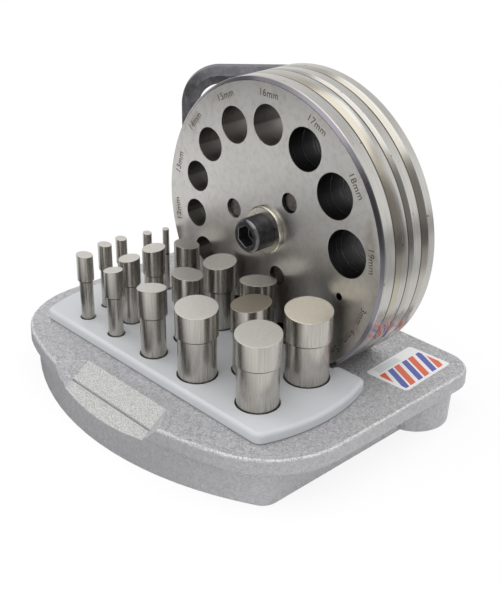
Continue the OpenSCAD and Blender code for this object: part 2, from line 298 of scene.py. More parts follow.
def paintedCasting():
    f = Finish("paintedCasting", Metallic=0.3, Coat_Weight=0.2, Coat_Roughness=0.22)
    x, y, z = f.parts(f.here)
    facet, edge = f.zone("facet"), f.zone("edge")
    level = f.step(f.parts(f.add("ShaderNodeNewGeometry", out="Normal"))[2], 0.5, 0.9)
    worm = f.noise(f.here, baseLook["cell"], 1.0, 0.5, 1.4)
    grain = f.noise(f.here, baseLook["grain"], 2.0, 0.6)
    broad = f.noise(f.here, baseLook["broad"], 3.0)
    relief = worm * (level * 0.5 + 0.5) * (1 - facet * 0.5) + grain * (0.22 + facet * 1.1)
    strong = level * 0.55 + 0.45  # the painted shade and highlight of the relief are weaker on upright faces
    # painted shade in the hollows and painted highlight on the crests of the hammered relief
    colour = f.blend(f.step(worm, 0.47, 0.39) * 0.75 * strong, baseLook["paint"],
                     baseLook["hollowShade"])
    colour = f.blend(f.step(worm, 0.55, 0.63) * 0.7 * strong, colour, baseLook["crestHighlight"])
    colour = f.blend(f.step(broad, 0.35, 0.65) * 0.18, colour, baseLook["cloud"])
    foil = f.blend(f.step(grain, 0.40, 0.60), baseLook["facet"], baseLook["foil"])
    colour = f.blend(facet * 0.9, colour, foil)
    # painted highlight along the flange's top edge, partly rubbed paint, broken up by noise
    edge = edge * f.step(z, *(baseTop - deep for deep in edgeHighlightLook["band"]))
    colour = f.blend(edge * f.step(grain, 0.40, 0.54) * f.step(broad, 0.36, 0.54, 0.55, 1.0),
                     colour, baseLook["edgeHighlight"])
    # painted shade inside the facet's groove and a painted highlight along its lower lip
    off = (y - grooveLook["y"]) / grooveLook["half"]
    groove = f.step(off.calc("ABSOLUTE"), 1.0, 0.6) * facet
    lip = f.step((off + grooveLook["lipShift"]).calc("ABSOLUTE"), 0.9, 0.3) * facet
    colour = f.blend(groove * 0.6, colour, baseLook["groove"])
    colour = f.blend(lip * 0.6, colour, baseLook["lip"])
    rough = f.step(worm, 0.3, 0.7, 0.52, 0.36)
    f.feed(Base_Color=colour, Roughness=rough,
           Normal=f.bump(relief + lip * 0.4, baseLook["relief"]))
    return f.end()


def carveGroove(obj):
    # a straight groove across the flat of the facet
    y, points, crossings = grooveLook["y"], obj.data.vertices, []
    for face in obj.data.polygons:
        if face.normal.dot(facetWay) < sameWay or face.area < grooveLook["facetLeast"]:
            continue
        ring = [points[i].co for i in face.vertices]
        for a, b in zip(ring, ring[1:] + ring[:1]):
            if (a.y - y) * (b.y - y) < 0:
                crossings.append(a.lerp(b, (y - a.y) / (b.y - a.y)))
    ends = min(crossings, key=lambda at: at.x), max(crossings, key=lambda at: at.x)
    size = ((ends[1] - ends[0]).length, grooveLook["half"] * 2, grooveLook["deep"] * 2)
    turn = Vector((0, 0, 1)).rotation_difference(facetWay).to_matrix().to_4x4()
    build = bmesh.new()
    bmesh.ops.create_cube(build, size=1.0, matrix=Matrix.Translation((ends[0] + ends[1]) / 2)
                          @ turn @ Matrix.Diagonal((*size, 1)))
    cutter = meshObject("grooveCutter", bpy.data.meshes.new("grooveCutter"))
    build.to_mesh(cutter.data)
    build.free()
    cut = obj.modifiers.new("groove", "BOOLEAN")
    cut.object = cutter
    cut.solver = "EXACT"
    settle(obj)
    bpy.data.objects.remove(cutter)
    return obj


def onFacet(at, way):
    return way.dot(facetWay) > sameWay


def onHighlightEdge(at, way):
    # the broken edge round the flange's top, clear of the tray's pocket and the cradle, which gets
    # a painted highlight, partly rubbed paint
    outside = abs(at.x) > edgeHighlightLook["side"] or not edgeHighlightLook["front"] <= at.y <= edgeHighlightLook["back"]
    tilted = edgeHighlightLook["tilt"][0] < way.z < edgeHighlightLook["tilt"][1]
    return outside and tilted and at.z > baseTop - edgeHighlightLook["deep"] and not onFacet(at, way)


basePiece = softCopy("hammeredBase", "base_casting", paintedCasting(), baseLook, carveGroove)
markZone(basePiece, "facet", onFacet)
markZone(basePiece, "edge", onHighlightEdge)
place(basePiece, "base", "base_casting")

# storage tray: satin plastic
trayLook = {"plastic": (0.60, 0.615, 0.64), "pale": (0.68, 0.69, 0.70),
            "foot": (0.16, 0.16, 0.17), "footBand": (0.75 * mm, 0.25 * mm), "grain": 1500,
            "cloud": 35, "scuff": 900, "relief": 0.02 * mm, "edge": 0.35 * mm, "edgeSteps": 2,
            "edgeTurn": 40}


def satinPlastic():
    f = Finish("satinPlastic", IOR=1.46)
    cloud = f.noise(f.here, trayLook["cloud"], 3.0)
    grain = f.noise(f.here, trayLook["grain"], 2.0)
    scuff = f.noise(f.place(scale=(0.2, 1, 1), turn=(0, 0, 0.5)), trayLook["scuff"], 2.0)
    colour = f.blend(f.step(cloud, 0.3, 0.7) * 0.4, trayLook["plastic"], trayLook["pale"])
    colour = f.blend(f.step(scuff, 0.66, 0.74) * 0.25, colour, trayLook["pale"])
    foot = f.step(f.parts(f.here)[2], *(baseTop + tall for tall in trayLook["footBand"]))
    colour = f.blend(foot * 0.8, colour, trayLook["foot"])  # painted contact shadow where it leaves the pocket
    f.feed(Base_Color=colour, Roughness=f.step(grain, 0.3, 0.7, 0.38, 0.48),
           Normal=f.bump(grain, trayLook["relief"], 0.6))
    return f.end()


place(softCopy("storageTray", "punch_tray", satinPlastic(), trayLook),
      "base", "punch_tray")
print("base and tray done")

# the four plates: one rule for the graded holes, a bevel of its own for each
plateLook = {"face": (0.68, 0.665, 0.64), "haze": (0.58, 0.56, 0.53),
             "scratch": (0.36, 0.35, 0.34), "spot": (0.34, 0.33, 0.32),
             "rim": (0.565, 0.555, 0.525), "turned": (0.38, 0.365, 0.34),
             "pit": (0.16, 0.14, 0.12), "bore": (0.065, 0.064, 0.066),
             "litBore": (0.48, 0.46, 0.43), "boreGlint": (0.52, 0.51, 0.49),
             "brown": (0.22, 0.15, 0.09), "seamShade": (0.06, 0.045, 0.03),
             "rimBand": (0.30 * mm, 0.18 * mm), "bevelBand": (1.62 * mm, 1.48 * mm),
             "seamBand": (0.95 * mm, 0.55 * mm), "brownRing": 55 * mm,
             "brownBand": (4 * mm, 1 * mm), "litFrom": (12 * mm, 1 * mm),
             "relief": 0.008 * mm, "edge": 0.14 * mm, "edgeSteps": 2, "edgeTurn": 30,
             "sharpTurn": 20}
steelCells = {"scratch": 2400, "ring": 2600, "cloud": 60, "spots": 420}
holeRule = {"count": 17, "first": 4.7, "sweep": 334.7, "circle": 43.25 * mm,
            "largest": 19.04 * mm, "rise": 1 * mm, "wall": 3.7 * mm, "growth": 0.13 * mm,
            "bolt": 5.15 * mm, "dowel": 4.05 * mm, "dowelCircle": 19.4 * mm, "dowelTurn": 50,
            "dowels": 3, "bevel": 1.5 * mm, "play": 0.04 * mm, "firstMark": 19}
roundSteps = {"hole": 56, "bolt": 48, "rim": 180}
holeStart = holeRule["largest"] - holeRule["play"] - holeRule["rise"] / 2 + holeRule["wall"]
holeGrow = holeRule["growth"] - holeRule["rise"]


def roomBefore(i):
    # room that the first i steps round the hole circle take
    return i * holeStart + (i - 1) * i * (holeGrow / 2)


def holeAngle(i):
    share = holeRule["sweep"] / roomBefore(holeRule["count"] - 1)
    return math.radians(holeRule["first"] + share * roomBefore(i))


def plateSteel(name, bevelColour, backY):
    f = Finish(name, Metallic=1.0)
    x, y, z = f.parts(f.place(location=(-axisX, 0, -axisZ)))
    reach = (x * x + z * z).calc("SQRT")
    rim = f.step(reach, *(stackR - deep for deep in plateLook["rimBand"]))
    bevel = f.step(reach, *(stackR - deep for deep in plateLook["bevelBand"])) * (1 - rim)
    bore = f.zone("bore")
    way = f.parts(f.add("ShaderNodeNewGeometry", out="Normal"))
    # painted shade inside the bores; the bores on the left get painted light, those on the right
    # stay dark, and all get painted glints along their walls
    clear = f.step(x, *plateLook["litFrom"]) * f.step(way[2], 0.18, 0.32, 0.42, 1.0)
    seam = f.step(y, *(backY - deep for deep in plateLook["seamBand"]))
    scratch = f.noise(f.place(scale=(1, 1, 0.16)), steelCells["scratch"], 3.0, 0.6)
    ring = f.noise(f.place(scale=(0.04, 1, 0.04)), steelCells["ring"], 3.0, 0.6)
    cloud = f.noise(f.here, steelCells["cloud"], 4.0)
    spots = f.noise(f.here, steelCells["spots"], 3.0)
    face = f.blend(f.step(cloud, 0.38, 0.66) * 0.3, plateLook["face"], plateLook["haze"])
    face = f.blend(f.step(scratch, 0.40, 0.7) * 0.10, face, plateLook["scratch"])
    face = f.blend(f.step(spots, 0.45, 0.66) * 0.16, face, plateLook["spot"])
    stain = f.step((reach - plateLook["brownRing"]).calc("ABSOLUTE"), *plateLook["brownBand"])
    face = f.blend(f.step(cloud, 0.54, 0.66) * stain * 0.35, face, plateLook["brown"])
    turned = f.blend(f.step(ring, 0.38, 0.64) * 0.34, plateLook["rim"], plateLook["turned"])
    turned = f.blend(f.step(spots, 0.68, 0.72) * 0.6, turned, plateLook["pit"])
    colour = f.blend(bevel, face, bevelColour)
    colour = f.blend(rim, colour, turned)
    colour = f.blend(seam * rim * 0.9, colour, plateLook["seamShade"])  # painted shade where the plates meet
    inside = f.blend(clear, plateLook["bore"], plateLook["litBore"])
    inside = f.blend(f.step(ring, 0.60, 0.72) * 0.35, inside, plateLook["boreGlint"])
    colour = f.blend(bore, colour, inside)
    rough = f.step(scratch, 0.3, 0.7, 0.29, 0.35) - (rim + bevel) * 0.09 + bore * 0.05
    relief = scratch * (1 - rim) * 0.5 + ring * rim
    f.feed(Base_Color=colour, Roughness=rough, Normal=f.bump(relief, plateLook["relief"], 0.7))
    return f.end()


def plateTree():
    s = Shape("gradedPlate", {"Radius": float, "Thickness": float, "Bevel": float,
                              "Bevel Depth": float, "Hole Circle": float, "Largest Hole": float,
                              "Rise": float, "First Turn": float, "Turn Per Room": float,
                              "Room Start": float, "Room Growth": float, "Bolt Hole": float,
                              "Dowel Hole": float, "Dowel Circle": float, "Dowel Turn": float,
                              "Axis X": float, "Axis Z": float, "Front Y": float,
                              "Material": bpy.types.Material})
    g = s.given
    index = s.add("GeometryNodeInputIndex")
    room = index * g["Room Start"] + (index - 1.0) * index * g["Room Growth"] * 0.5
    angle = g["First Turn"] + room * g["Turn Per Room"]
    spot = s.vector(angle.calc("COSINE") * g["Hole Circle"], angle.calc("SINE") * g["Hole Circle"])
    half = (g["Largest Hole"] - index * g["Rise"]) * 0.5
    ring = s.add("GeometryNodeCurvePrimitiveCircle", {}, {
        "Resolution": roundSteps["hole"], "Radius": 1.0})
    dots = s.add("GeometryNodePoints", {}, {"Count": holeRule["count"], "Position": spot})
    holes = s.add("GeometryNodeInstanceOnPoints", {}, {"Points": dots, "Instance": ring,
                                                       "Scale": s.vector(half, half, half)})
    pinTurn = g["Dowel Turn"] + index * (2 * math.pi / holeRule["dowels"])
    pinSpot = s.vector(pinTurn.calc("COSINE") * g["Dowel Circle"],
                       pinTurn.calc("SINE") * g["Dowel Circle"])
    pinDots = s.add("GeometryNodePoints", {}, {"Count": holeRule["dowels"],
                                               "Position": pinSpot})
    pinSize = s.vector(g["Dowel Hole"], g["Dowel Hole"], g["Dowel Hole"])
    pinHoles = s.add("GeometryNodeInstanceOnPoints", {}, {"Points": pinDots, "Instance": ring,
                                                          "Scale": pinSize})
    bolt = s.add("GeometryNodeCurvePrimitiveCircle", {}, {
        "Resolution": roundSteps["bolt"], "Radius": g["Bolt Hole"]})
    outline = s.add("GeometryNodeCurvePrimitiveCircle", {}, {
        "Resolution": roundSteps["rim"], "Radius": g["Radius"] - g["Bevel"]})
    drawn = s.add("GeometryNodeJoinGeometry", {}, {0: [holes, pinHoles, bolt, outline]})
    flat = s.add("GeometryNodeFillCurve", {}, {
        "Curve": s.add("GeometryNodeRealizeInstances", {}, {0: drawn})})
    first = s.add("GeometryNodeExtrudeMesh", {}, {
        "Mesh": flat, "Offset": s.vector(0.0, 0.0, -1.0), "Offset Scale": g["Bevel Depth"],
        "Individual": False})
    x, y, z = s.parts(s.add("GeometryNodeInputPosition"))
    reach = (x * x + y * y).calc("SQRT")
    grow = g["Radius"] / (g["Radius"] - g["Bevel"])
    outer = (reach > g["Radius"] - g["Bevel"] * 1.5) * (z < g["Bevel Depth"] * -0.5)
    wider = s.add("GeometryNodeSetPosition", {}, {
        "Geometry": first, "Selection": outer, "Position": s.vector(x * grow, y * grow, z)})
    second = s.add("GeometryNodeExtrudeMesh", {}, {
        "Mesh": wider, "Selection": first.also("Top"),
        "Offset": s.vector(0.0, 0.0, -1.0), "Offset Scale": g["Thickness"] - g["Bevel Depth"],
        "Individual": False})
    sides = s.add("GeometryNodeFlipFaces", {}, {"Mesh": second})
    whole = s.add("GeometryNodeJoinGeometry", {}, {0: [sides, flat]})
    whole = s.add("GeometryNodeMergeByDistance", {}, {"Geometry": whole, "Distance": weld})
    level = s.parts(s.add("GeometryNodeInputNormal"))[2].calc("ABSOLUTE")
    inside = (level < 0.5) * (reach < g["Radius"] - g["Bevel"] * 1.5)
    whole = s.add("GeometryNodeStoreNamedAttribute", {"data_type": "FLOAT", "domain": "FACE"},
                  {"Geometry": whole, "Name": "bore", "Value": inside})
    up = s.move(whole, turn=(math.radians(90), 0, 0))
    s.end(s.move(up, shift=s.vector(g["Axis X"], g["Front Y"], g["Axis Z"])))
    return s


plates = plateTree()
# node, body, tone of the bevel, share of the plate's thickness that the bevel takes
plateFinish = [("guide_plate_front", "guide_block", (0.27, 0.255, 0.285), 0.2),
               ("guide_plate_rear", "guide_block", (0.52, 0.48, 0.40), 0.6),
               ("die_plate_front", "die_block", (0.50, 0.48, 0.44), 0.35),
               ("die_plate_rear", "die_block", (0.52, 0.49, 0.43), 0.5)]
noSeam = 1.0  # a place far behind the stack
for node, body, tone, share in plateFinish:
    low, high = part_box(node)
    seamY = noSeam if node == "die_plate_rear" else high.y
    plate = plates.make("steel_" + node, {
        "Radius": stackR, "Thickness": high.y - low.y, "Bevel": holeRule["bevel"],
        "Bevel Depth": share * plateT, "Hole Circle": holeRule["circle"],
        "Largest Hole": holeRule["largest"], "Rise": holeRule["rise"],
        "First Turn": math.radians(holeRule["first"]),
        "Turn Per Room": math.radians(holeRule["sweep"]) / roomBefore(holeRule["count"] - 1),
        "Room Start": holeStart, "Room Growth": holeGrow, "Bolt Hole": holeRule["bolt"],
        "Dowel Hole": holeRule["dowel"], "Dowel Circle": holeRule["dowelCircle"],
        "Dowel Turn": math.radians(holeRule["dowelTurn"]), "Axis X": axisX, "Axis Z": axisZ,
        "Front Y": low.y, "Material": plateSteel("steel_" + node, tone, seamY)})
    smooth(softEdges(plate, plateLook), plateLook["sharpTurn"])
    place(plate, body, node)
print("plates done")


# size marks beside the cutting holes, tops outwards
markLook = {"height": 2.9 * mm, "heightShare": 1.38, "spacing": 1.06, "radius": 55.3 * mm,
            "deep": 0.06 * mm, "proud": 0.025 * mm, "bolder": 0.05 * mm,
            "ink": (0.085, 0.07, 0.055), "faded": (0.19, 0.16, 0.125), "cell": 900}


def markInk():
    f = Finish("markInk", Metallic=0.3)
    cloud = f.noise(f.here, markLook["cell"], 3.0)
    colour = f.blend(f.step(cloud, 0.35, 0.7), markLook["ink"], markLook["faded"])
    f.feed(Base_Color=colour, Roughness=f.step(cloud, 0.3, 0.7, 0.5, 0.65))
    return f.end()


def markTree():
    s = Shape("sizeMark", {"Text": str, "Height": float, "Radius": float, "Turn": float,
                           "Deep": float, "Bolder": float, "Axis X": float, "Axis Z": float,
                           "Front Y": float, "Material": bpy.types.Material})
    g = s.given
    words = s.add("GeometryNodeStringToCurves", {"align_x": "CENTER", "align_y": "MIDDLE"},
                  {"String": g["Text"], "Size": g["Height"],
                   "Character Spacing": markLook["spacing"]})
    lines = s.add("GeometryNodeResampleCurve", {"mode": "EVALUATED"}, {
        "Curve": s.add("GeometryNodeRealizeInstances", {}, {0: words})})
    outwards = s.add("ShaderNodeVectorMath", {"operation": "CROSS_PRODUCT"}, {
        0: s.add("GeometryNodeInputTangent"), 1: s.vector(0.0, 0.0, g["Bolder"])})
    flat = s.add("GeometryNodeFillCurve", {}, {
        "Curve": s.add("GeometryNodeSetPosition", {}, {"Geometry": lines, "Offset": outwards})})
    raised = s.add("GeometryNodeExtrudeMesh", {}, {
        "Mesh": flat, "Offset": s.vector(0.0, 0.0, 1.0), "Offset Scale": g["Deep"],
        "Individual": False})
    under = s.add("GeometryNodeFlipFaces", {}, {"Mesh": flat})
    whole = s.add("GeometryNodeJoinGeometry", {}, {0: [raised, under]})
    whole = s.add("GeometryNodeMergeByDistance", {}, {"Geometry": whole, "Distance": fineWeld})
    upright = s.move(whole, turn=(math.radians(90), 0, 0))
    lifted = s.move(upright, shift=s.vector(0.0, 0.0, g["Radius"]))
    turned = s.move(lifted, turn=s.vector(0.0, math.pi / 2 - g["Turn"], 0.0))
    s.end(s.move(turned, shift=s.vector(g["Axis X"], g["Front Y"], g["Axis Z"])))
    return s


ink = markInk()
marks = markTree()
gathered = bmesh.new()
for i in range(holeRule["count"]):
    mark = marks.make("mark", {
        "Text": f"{holeRule['firstMark'] - i}mm",
        "Height": markLook["height"] * markLook["heightShare"],
        "Radius": markLook["radius"], "Turn": holeAngle(i), "Deep": markLook["deep"],
        "Bolder": markLook["bolder"], "Axis X": axisX, "Axis Z": axisZ,
        "Front Y": faceY + markLook["deep"] - markLook["proud"], "Material": ink})
    gathered.from_mesh(mark.data)
    bpy.data.objects.remove(mark)
markMesh = bpy.data.meshes.new("sizeMarks")
gathered.to_mesh(markMesh)
gathered.free()
markMesh.materials.append(ink)
place(meshObject("sizeMarks", markMesh), "guide_block")
print("size marks done")


# dowels, washer, clamp bolt and stored key
dowelLook = {"tones": ((0.15, 0.135, 0.13), (0.27, 0.24, 0.22)), "cell": 700, "detail": 4.0,
             "rough": 0.65, "spread": (0.35, 0.70), "shine": (0.34, 0.50), "relief": 0.02 * mm,
             "edge": 0.5 * mm, "edgeSteps": 2, "edgeTurn": 40}
washerLook = {"tones": ((0.66, 0.62, 0.53), (0.78, 0.74, 0.65)), "cell": 420, "detail": 3.0,
              "rough": 0.6, "spread": (0.35, 0.65), "shine": (0.24, 0.38), "relief": 0.02 * mm,
              "edge": 0.28 * mm, "edgeSteps": 3, "edgeTurn": 25}
screwLook = {"tone": (0.065, 0.063, 0.07), "shine": 0.30, "rubAndShade": 0.5,
             "edge": 0.35 * mm, "edgeSteps": 3, "edgeTurn": 25}
keyLook = {"tone": (0.15, 0.146, 0.157), "shine": 0.36, "rubAndShade": 0.0,
           "edge": 0.22 * mm, "edgeSteps": 2, "edgeTurn": 40}
oxideLook = {"front": (0.02, 0.02, 0.022), "bareAndLit": (0.46, 0.45, 0.45), "cell": 320,
             "grain": 2600, "relief": 0.012 * mm}


def cloudyMetal(name, look):
    f = Finish(name, Metallic=1.0)
    cloud = f.noise(f.here, look["cell"], look["detail"], look["rough"])
    colour = f.blend(f.step(cloud, *look["spread"]), *look["tones"])
    f.feed(Base_Color=colour, Roughness=f.step(cloud, 0.3, 0.7, *look["shine"]),
           Normal=f.bump(cloud, look["relief"], 0.5))
    return f.end()


def blackOxide(name, look):
    # black all over, with painted shade on the screw's front face and a painted highlight, partly
    # rubbed bare steel, round its front edge
    tone, shine, rubAndShade = look["tone"], look["shine"], look["rubAndShade"]
    f = Finish(name, Metallic=0.85)
    cloud = f.noise(f.here, oxideLook["cell"], 4.0, 0.6)
    fine = f.noise(f.here, oxideLook["grain"], 2.0)
    pale = tuple(c * 2.4 + 0.03 for c in tone)
    colour = f.blend(f.step(cloud, 0.42, 0.75) * 0.5, tone, pale)
    front = f.parts(f.add("ShaderNodeNewGeometry", out="Normal"))[1]
    # painted highlight, partly rubbed bare steel, round the front edge, and painted shade on the
    # front face
    ring = f.step(front, -0.97, -0.90) * f.step(front, -0.15, -0.35) * f.step(cloud, 0.30, 0.50)
    colour = f.blend(f.step(front, -0.92, -0.98) * rubAndShade * 0.6, colour, oxideLook["front"])
    colour = f.blend(ring * rubAndShade, colour, oxideLook["bareAndLit"])
    f.feed(Base_Color=colour, Roughness=f.step(cloud, 0.3, 0.7, shine, shine + 0.16),
           Normal=f.bump(fine, oxideLook["relief"], 0.6))
    return f.end()


place(softCopy("dowelEnds", "dowel_pins", cloudyMetal("darkPins", dowelLook), dowelLook),
      "die_block", "dowel_pins")
place(softCopy("zincWasher", "bolt_washer", cloudyMetal("zincPlate", washerLook), washerLook),
      "guide_block", "bolt_washer")
place(softCopy("capScrew", "clamp_bolt", blackOxide("blackScrew", screwLook), screwLook),
      "bolt", "clamp_bolt")
place(softCopy("storedKey", "hex_key", blackOxide("blackKey", keyLook), keyLook),
      "key", "hex_key")
print("fastenings and key done")

# punches: one rule for all seventeen
punchLook = {"steel": (0.57, 0.545, 0.505), "dull": (0.36, 0.335, 0.30),
             "top": (0.72, 0.695, 0.65), "beigeTop": (0.97, 0.91, 0.78),
             "brownTop": (0.50, 0.44, 0.355), "paleTop": (1.0, 0.97, 0.90),
             "glint": (0.60, 0.58, 0.55), "lowerTint": (0.24, 0.20, 0.15),
             "shadow": (0.06, 0.055, 0.05), "lowerTintBand": (8 * mm, 0.0), "grain": 0.012 * mm}
punchSize = {"length": 43.9 * mm, "head": 11.5 * mm, "relief": 0.8 * mm, "reliefShare": 0.2,
             "shear": 7, "chamfer": 0.5 * mm, "edge": 0.16 * mm, "groove": 0.30 * mm,
             "faintGroove": 0.02 * mm, "grooveTall": 0.45 * mm, "largestPlain": 4, "columns": 64,
             "topRow": 9}
punchCells = {"streak": 1300, "broad": 260, "fine": 5200, "swirl": 1700}
# size in mm and the way, in degrees, in which its sheared face falls
shearTurns = {19: -40, 18: -50, 17: -45, 16: -135, 15: 130, 14: -90, 13: 45, 12: 135, 11: 50,
              10: -130, 9: -135, 8: 180, 7: 40, 6: 45, 5: 20, 4: 0, 3: 0}


def punchSteel(name, topColour):
    f = Finish(name, Metallic=1.0)
    streak = f.noise(f.place(scale=(1, 1, 0.03)), punchCells["streak"], 3.0, 0.6)
    broad = f.noise(f.place(scale=(1, 1, 0.10)), punchCells["broad"], 2.0, 0.5)
    fine = f.noise(f.place(scale=(1, 1, 0.05)), punchCells["fine"], 2.0, 0.6)
    swirl = f.noise(f.place(scale=(1, 0.22, 1), turn=(0, 0, 0.7)), punchCells["swirl"], 3.0,
                    0.65, 1.5)
    up = f.step(f.parts(f.add("ShaderNodeNewGeometry", out="Normal"))[2], 0.80, 0.95)
    z = f.parts(f.here)[2]
    # browner and darker low down, fading out 8 mm above the tray's top
    lowerTint = f.step(z, *(trayTop + tall for tall in punchLook["lowerTintBand"]))
    lowerTint = lowerTint * f.step(streak, 0.35, 0.65)
    side = f.blend(f.step(streak, 0.40, 0.62) * 0.15, punchLook["steel"], punchLook["dull"])
    side = f.blend(f.step(broad, 0.45, 0.62) * 0.16, side, punchLook["glint"])
    side = f.blend(lowerTint * 0.4, side, punchLook["lowerTint"])
    top = f.blend(f.step(swirl, 0.32, 0.70) * 0.5, topColour, tuple(c * 0.8 for c in topColour))
    colour = f.blend(up, side, top)
    colour = f.blend(f.zone("groove"), colour, punchLook["shadow"])
    rough = f.step(streak, 0.3, 0.7, 0.20, 0.30) * (1 - up) + up * 0.46
    f.feed(Base_Color=colour, Roughness=rough,
           Normal=f.bump(fine * (1 - up) * 0.4 + swirl * up, punchLook["grain"], 0.8))
    return f.end()


def punchTree():
    s = Shape("shearedPunch", {"Head Radius": float, "Shank Radius": float, "Length": float,
                               "Head Length": float, "Slope": float, "Slope Turn": float,
                               "Chamfer": float, "Edge": float, "Groove": float,
                               "Groove Height": float, "Centre X": float, "Centre Y": float,
                               "Foot Z": float, "Material": bpy.types.Material})
    g = s.given
    head, shank, edge = g["Head Radius"], g["Shank Radius"], g["Edge"]
    neck = g["Length"] - g["Head Length"]
    low = neck - g["Groove Height"]
    inner = shank - g["Groove"]
    profile = [(0.0, 0.0), (shank - g["Chamfer"], 0.0), (shank, g["Chamfer"]),
               (shank, low - edge), (shank - edge, low), (inner, low), (inner, neck),
               (head - edge, neck), (head, neck + edge), (head, g["Length"] - edge),
               (head - edge * 0.3, g["Length"] - edge * 0.3), (head - edge, g["Length"]),
               (head - edge * 2.5, g["Length"]), (0.0, g["Length"])]
    rows, columns = len(profile), punchSize["columns"]
    index = s.add("GeometryNodeInputIndex")
    column = (index / float(rows)).calc("FLOOR")
    row = index - column * float(rows)
    angle = column * (2 * math.pi / columns)
    radius, height = (s.add("GeometryNodeIndexSwitch", {"data_type": "FLOAT", "items": rows},
                            {0: row, **dict(enumerate(values, 1))}) for values in zip(*profile))
    x, y = radius * angle.calc("COSINE"), radius * angle.calc("SINE")
    fall = (x * g["Slope Turn"].calc("COSINE") + y * g["Slope Turn"].calc("SINE")) * g["Slope"]
    z = height - fall * (row > punchSize["topRow"] - 0.5)
    grid = s.add("GeometryNodeMeshGrid", {}, {"Vertices X": columns + 1, "Vertices Y": rows})
    body = s.add("GeometryNodeSetPosition", {}, {
        "Geometry": grid, "Position": s.vector(x + g["Centre X"], y + g["Centre Y"],
                                               z + g["Foot Z"])})
    body = s.add("GeometryNodeMergeByDistance", {}, {"Geometry": body, "Distance": fineWeld})
    at = s.parts(s.add("GeometryNodeInputPosition"))[2] - g["Foot Z"]
    inGroove = (at > low - edge * 1.2) * (at < neck + edge * 0.2)
    body = s.add("GeometryNodeStoreNamedAttribute", {"data_type": "FLOAT", "domain": "FACE"},
                 {"Geometry": body, "Name": "groove", "Value": inGroove})
    s.end(body)
    return s


punches = punchTree()
brightPunch = punchSteel("punchSteel", punchLook["top"])
otherPunch = {19: punchSteel("punchSteelBeige", punchLook["beigeTop"]),
              16: punchSteel("punchSteelBrown", punchLook["brownTop"]),
              15: punchSteel("punchSteelPale", punchLook["paleTop"])}
for size, turn in shearTurns.items():
    node = f"punch_{size:02d}mm"
    low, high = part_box(node)
    radius = (high.x - low.x) / 2
    plain = size <= punchSize["largestPlain"]
    relief = 0.0 if plain else min(punchSize["relief"], radius * punchSize["reliefShare"])
    punch = punches.make("steel_" + node, {
        "Head Radius": radius, "Shank Radius": radius - relief,
        "Length": punchSize["length"], "Head Length": punchSize["head"],
        "Slope": math.tan(math.radians(punchSize["shear"])), "Slope Turn": math.radians(turn),
        "Chamfer": punchSize["chamfer"], "Edge": punchSize["edge"],
        "Groove": punchSize["faintGroove" if plain else "groove"],
        "Groove Height": punchSize["grooveTall"],
        "Centre X": (low.x + high.x) / 2, "Centre Y": (low.y + high.y) / 2, "Foot Z": low.z,
        "Material": otherPunch.get(size, brightPunch)})
    place(smooth(punch), node, node)
print("punches done")

# plain printed label on the base top
labelLook = {"centre": (67.1 * mm, 33.5 * mm), "size": (20.4 * mm, 30.1 * mm), "turn": 3.1,
             "corner": 1.6 * mm, "cornerSteps": 7, "thick": 0.10 * mm, "white": (0.95, 0.95, 0.95),
             "dull": (0.90, 0.91, 0.92), "blue": (0.07, 0.09, 0.42), "red": (0.80, 0.11, 0.03),
             "grey": (0.36, 0.40, 0.44), "cell": 300, "stripes": 3.2, "slant": 1.1, "lines": 22}
# from and to, as shares of the label or of one stripe or line
labelShares = {"panelAcross": (0.27, 0.935), "panelAlong": (0.05, 0.95), "blue": (0.08, 0.42),
               "red": (0.52, 0.88), "line": (0.28, 0.72), "linesAcross": (0.06, 0.232),
               "linesAlong": (0.12, 0.60)}


def printedLabel():
    f = Finish("printedLabel", IOR=1.5, Coat_Weight=0.3, Coat_Roughness=0.15)
    wide, tall = labelLook["size"]
    local = f.place(location=(*labelLook["centre"], 0),
                    turn=(0, 0, math.radians(labelLook["turn"])), way="TEXTURE")
    x, y, z = f.parts(local)
    across, along = x / wide + 0.5, y / tall + 0.5
    shares = labelShares
    panel = (f.band(across, *shares["panelAcross"], 0.01)
             * f.band(along, *shares["panelAlong"], 0.01))
    slant = (along * labelLook["stripes"] + across * labelLook["slant"]).calc("FRACT")
    blue = f.band(slant, *shares["blue"], 0.01)
    red = f.band(slant, *shares["red"], 0.01)
    line = (across * labelLook["lines"]).calc("FRACT")
    bars = (f.band(line, *shares["line"], 0.06) * f.band(across, *shares["linesAcross"], 0.005)
            * f.band(along, *shares["linesAlong"], 0.005))
    cloud = f.noise(f.here, labelLook["cell"], 2.0)
    colour = f.blend(f.step(cloud, 0.3, 0.7) * 0.3, labelLook["white"], labelLook["dull"])
    colour = f.blend(panel * blue, colour, labelLook["blue"])
    colour = f.blend(panel * red, colour, labelLook["red"])
    colour = f.blend(bars * 0.7, colour, labelLook["grey"])
    f.feed(Base_Color=colour, Roughness=f.step(cloud, 0.3, 0.7, 0.30, 0.38))
    return f.end()


